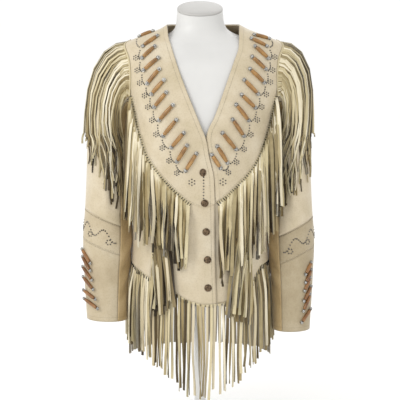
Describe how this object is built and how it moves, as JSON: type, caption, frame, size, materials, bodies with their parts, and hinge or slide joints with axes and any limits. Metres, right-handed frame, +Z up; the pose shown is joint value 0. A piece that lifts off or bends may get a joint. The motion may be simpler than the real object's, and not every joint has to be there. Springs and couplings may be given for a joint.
{
  "type": "fringed leather jacket on a dress form",
  "caption": "Cream leather jacket with cut fringes, raised hairpipe beads on yokes and sleeves and a snap front, worn by a smooth limbless dress form on a pole and a round base.",
  "frame": {"origin": "centre of the round base's flat underside", "axes": "+Z up along the pole; the jacket's front faces -Y and the wearer's right side is at -X"},
  "size_m": [0.5136, 0.28, 0.9392],
  "materials": {
    "jacket_leather": "matt suede-like cream leather",
    "fringe_leather": "matt, cut edges",
    "snap_metal": "dark bronze",
    "form_plastic": "smooth satin",
    "form_cap_plastic": "smooth satin",
    "stand_paint": "satin"
  },
  "bodies": {
    "root": {"front_right": "jacket_leather", "front_left": "jacket_leather", "side_right": "jacket_leather", "side_left": "jacket_leather", "back": "jacket_leather", "yoke_right": "jacket_leather", "yoke_left": "jacket_leather", "yoke_back": "jacket_leather", "sleeve_right_upper": "jacket_leather", "sleeve_right_band": "jacket_leather", "sleeve_right_lower": "jacket_leather", "sleeve_right_under": "jacket_leather", "sleeve_left_upper": "jacket_leather", "sleeve_left_band": "jacket_leather", "sleeve_left_lower": "jacket_leather", "sleeve_left_under": "jacket_leather", "fringe_yoke_right": "fringe_leather", "fringe_yoke_left": "fringe_leather", "fringe_yoke_back": "fringe_leather", "fringe_seam_right": "fringe_leather", "fringe_seam_left": "fringe_leather", "fringe_hem_right": "fringe_leather", "fringe_hem_left": "fringe_leather", "fringe_hem_back": "fringe_leather", "snap_1": "snap_metal", "snap_2": "snap_metal", "snap_3": "snap_metal", "snap_4": "snap_metal", "snap_5": "snap_metal", "form_body": "form_plastic", "form_cap": "form_cap_plastic", "stand_pole": "stand_paint", "stand_base": "stand_paint"}
  },
  "joints": []
}
